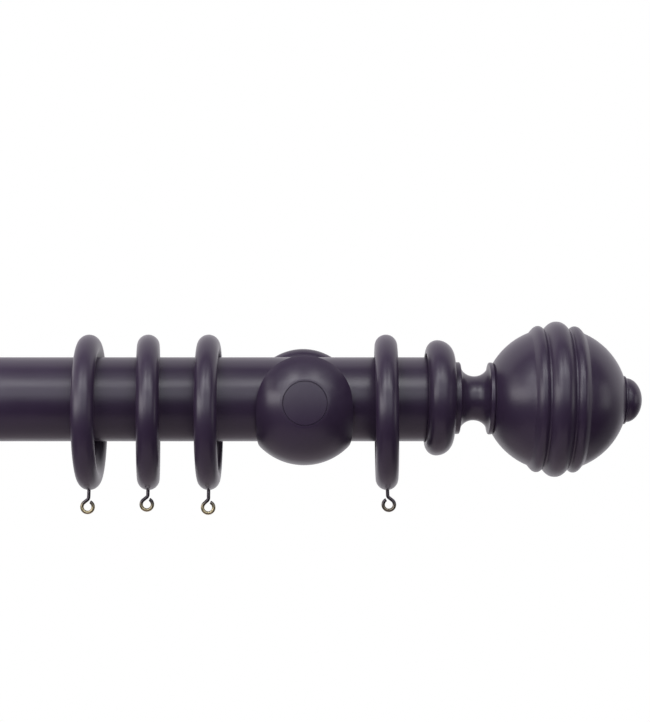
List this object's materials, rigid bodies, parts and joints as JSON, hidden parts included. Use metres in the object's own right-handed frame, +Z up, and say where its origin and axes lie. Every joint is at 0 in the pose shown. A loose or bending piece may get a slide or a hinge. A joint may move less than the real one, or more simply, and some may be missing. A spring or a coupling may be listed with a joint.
{
  "type": "curtain rod with brackets",
  "caption": "Painted wooden curtain pole resting in ball-shaped wall cups, with ribbed ball finials at its ends and sliding rings with screw eyes for curtain hooks.",
  "frame": {"origin": "on the wall plane, midway between the two brackets, at the height of the bracket arms' axis", "axes": "+X along the pole to the right as seen from the room, +Y into the wall, +Z up"},
  "size_m": [1.4378, 0.1679, 0.1129],
  "materials": {
    "painted_wood": "satin dark aubergine paint over turned wood",
    "bronzed_brass": "darkened brass wire, brighter where the curtain hook rubs",
    "plated_steel": "bright zinc plate",
    "felt": "pressed charcoal felt"
  },
  "bodies": {
    "brackets": {"cup_left": "painted_wood", "cup_liner_left": "felt", "rose_left": "painted_wood", "wall_plate_left": "plated_steel", "bracket_bolt_left": "plated_steel", "bolt_washer_left": "plated_steel", "pole_screw_left": "plated_steel", "wall_screw_left_1": "plated_steel", "wall_screw_left_2": "plated_steel", "wall_screw_left_3": "plated_steel", "cup_right": "painted_wood", "cup_liner_right": "felt", "rose_right": "painted_wood", "wall_plate_right": "plated_steel", "bracket_bolt_right": "plated_steel", "bolt_washer_right": "plated_steel", "pole_screw_right": "plated_steel", "wall_screw_right_1": "plated_steel", "wall_screw_right_2": "plated_steel", "wall_screw_right_3": "plated_steel"},
    "pole": {"pole": "painted_wood"},
    "ring_01": {"ring_01": "painted_wood", "ring_eye_01": "bronzed_brass"},
    "ring_02": {"ring_02": "painted_wood", "ring_eye_02": "bronzed_brass"},
    "ring_03": {"ring_03": "painted_wood", "ring_eye_03": "bronzed_brass"},
    "ring_04": {"ring_04": "painted_wood", "ring_eye_04": "bronzed_brass"},
    "ring_05": {"ring_05": "painted_wood", "ring_eye_05": "bronzed_brass"},
    "ring_06": {"ring_06": "painted_wood", "ring_eye_06": "bronzed_brass"},
    "ring_07": {"ring_07": "painted_wood", "ring_eye_07": "bronzed_brass"},
    "ring_08": {"ring_08": "painted_wood", "ring_eye_08": "bronzed_brass"},
    "ring_09": {"ring_09": "painted_wood", "ring_eye_09": "bronzed_brass"},
    "ring_10": {"ring_10": "painted_wood", "ring_eye_10": "bronzed_brass"},
    "ring_11": {"ring_11": "painted_wood", "ring_eye_11": "bronzed_brass"},
    "ring_12": {"ring_12": "painted_wood", "ring_eye_12": "bronzed_brass"},
    "finial_screw_left": {"finial_screw_left": "plated_steel"},
    "finial_left": {"finial_left": "painted_wood"},
    "finial_screw_right": {"finial_screw_right": "plated_steel"},
    "finial_right": {"finial_right": "painted_wood"},
    "cover_plug_left": {"cover_plug_left": "painted_wood"},
    "cover_plug_right": {"cover_plug_right": "painted_wood"}
  },
  "joints": [
    {"name": "pole_lift", "type": "slide", "parent": "brackets", "child": "pole", "axis": [0, 0, 1], "range_m": [0, 0.06]},
    {"name": "ring_01_slide", "type": "slide", "parent": "pole", "child": "ring_01", "axis": [1, 0, 0], "range_m": [-0.0142, 0.0122]},
    {"name": "ring_02_slide", "type": "slide", "parent": "pole", "child": "ring_02", "axis": [1, 0, 0], "range_m": [-0.0214, 0.0199]},
    {"name": "ring_03_slide", "type": "slide", "parent": "pole", "child": "ring_03", "axis": [1, 0, 0], "range_m": [-0.0199, 0.0182]},
    {"name": "ring_04_slide", "type": "slide", "parent": "pole", "child": "ring_04", "axis": [1, 0, 0], "range_m": [-0.0182, 0.1244]},
    {"name": "ring_05_slide", "type": "slide", "parent": "pole", "child": "ring_05", "axis": [1, 0, 0], "range_m": [-0.1244, 0.1477]},
    {"name": "ring_06_slide", "type": "slide", "parent": "pole", "child": "ring_06", "axis": [1, 0, 0], "range_m": [-0.1477, 0.1532]},
    {"name": "ring_07_slide", "type": "slide", "parent": "pole", "child": "ring_07", "axis": [1, 0, 0], "range_m": [-0.1532, 0.1484]},
    {"name": "ring_08_slide", "type": "slide", "parent": "pole", "child": "ring_08", "axis": [1, 0, 0], "range_m": [-0.1484, 0.1242]},
    {"name": "ring_09_slide", "type": "slide", "parent": "pole", "child": "ring_09", "axis": [1, 0, 0], "range_m": [-0.1242, 0.0184]},
    {"name": "ring_10_slide", "type": "slide", "parent": "pole", "child": "ring_10", "axis": [1, 0, 0], "range_m": [-0.0184, 0.0193]},
    {"name": "ring_11_slide", "type": "slide", "parent": "pole", "child": "ring_11", "axis": [1, 0, 0], "range_m": [-0.0193, 0.0204]},
    {"name": "ring_12_slide", "type": "slide", "parent": "pole", "child": "ring_12", "axis": [1, 0, 0], "range_m": [-0.0117, 0.0137]},
    {"name": "finial_left_travel", "type": "slide", "parent": "pole", "child": "finial_screw_left", "axis": [-1, 0, 0], "range_m": [0, 0.0205]},
    {"name": "finial_left_turn", "type": "hinge", "parent": "finial_screw_left", "child": "finial_left", "pos_m": [-0.6, -0.085, 0.0024], "axis": [-1, 0, 0], "range_deg": [0, 2160]},
    {"name": "finial_right_travel", "type": "slide", "parent": "pole", "child": "finial_screw_right", "axis": [1, 0, 0], "range_m": [0, 0.0205]},
    {"name": "finial_right_turn", "type": "hinge", "parent": "finial_screw_right", "child": "finial_right", "pos_m": [0.6, -0.085, 0.0024], "axis": [1, 0, 0], "range_deg": [0, 2160]},
    {"name": "cover_plug_left_pull", "type": "slide", "parent": "brackets", "child": "cover_plug_left", "axis": [0, -1, 0], "range_m": [0, 0.02]},
    {"name": "cover_plug_right_pull", "type": "slide", "parent": "brackets", "child": "cover_plug_right", "axis": [0, -1, 0], "range_m": [0, 0.02]}
  ],
  "couplings": [
    {"joint": "finial_left_travel", "follows": "finial_left_turn", "m_per_rad": 0.00054113},
    {"joint": "finial_right_travel", "follows": "finial_right_turn", "m_per_rad": 0.00054113}
  ]
}
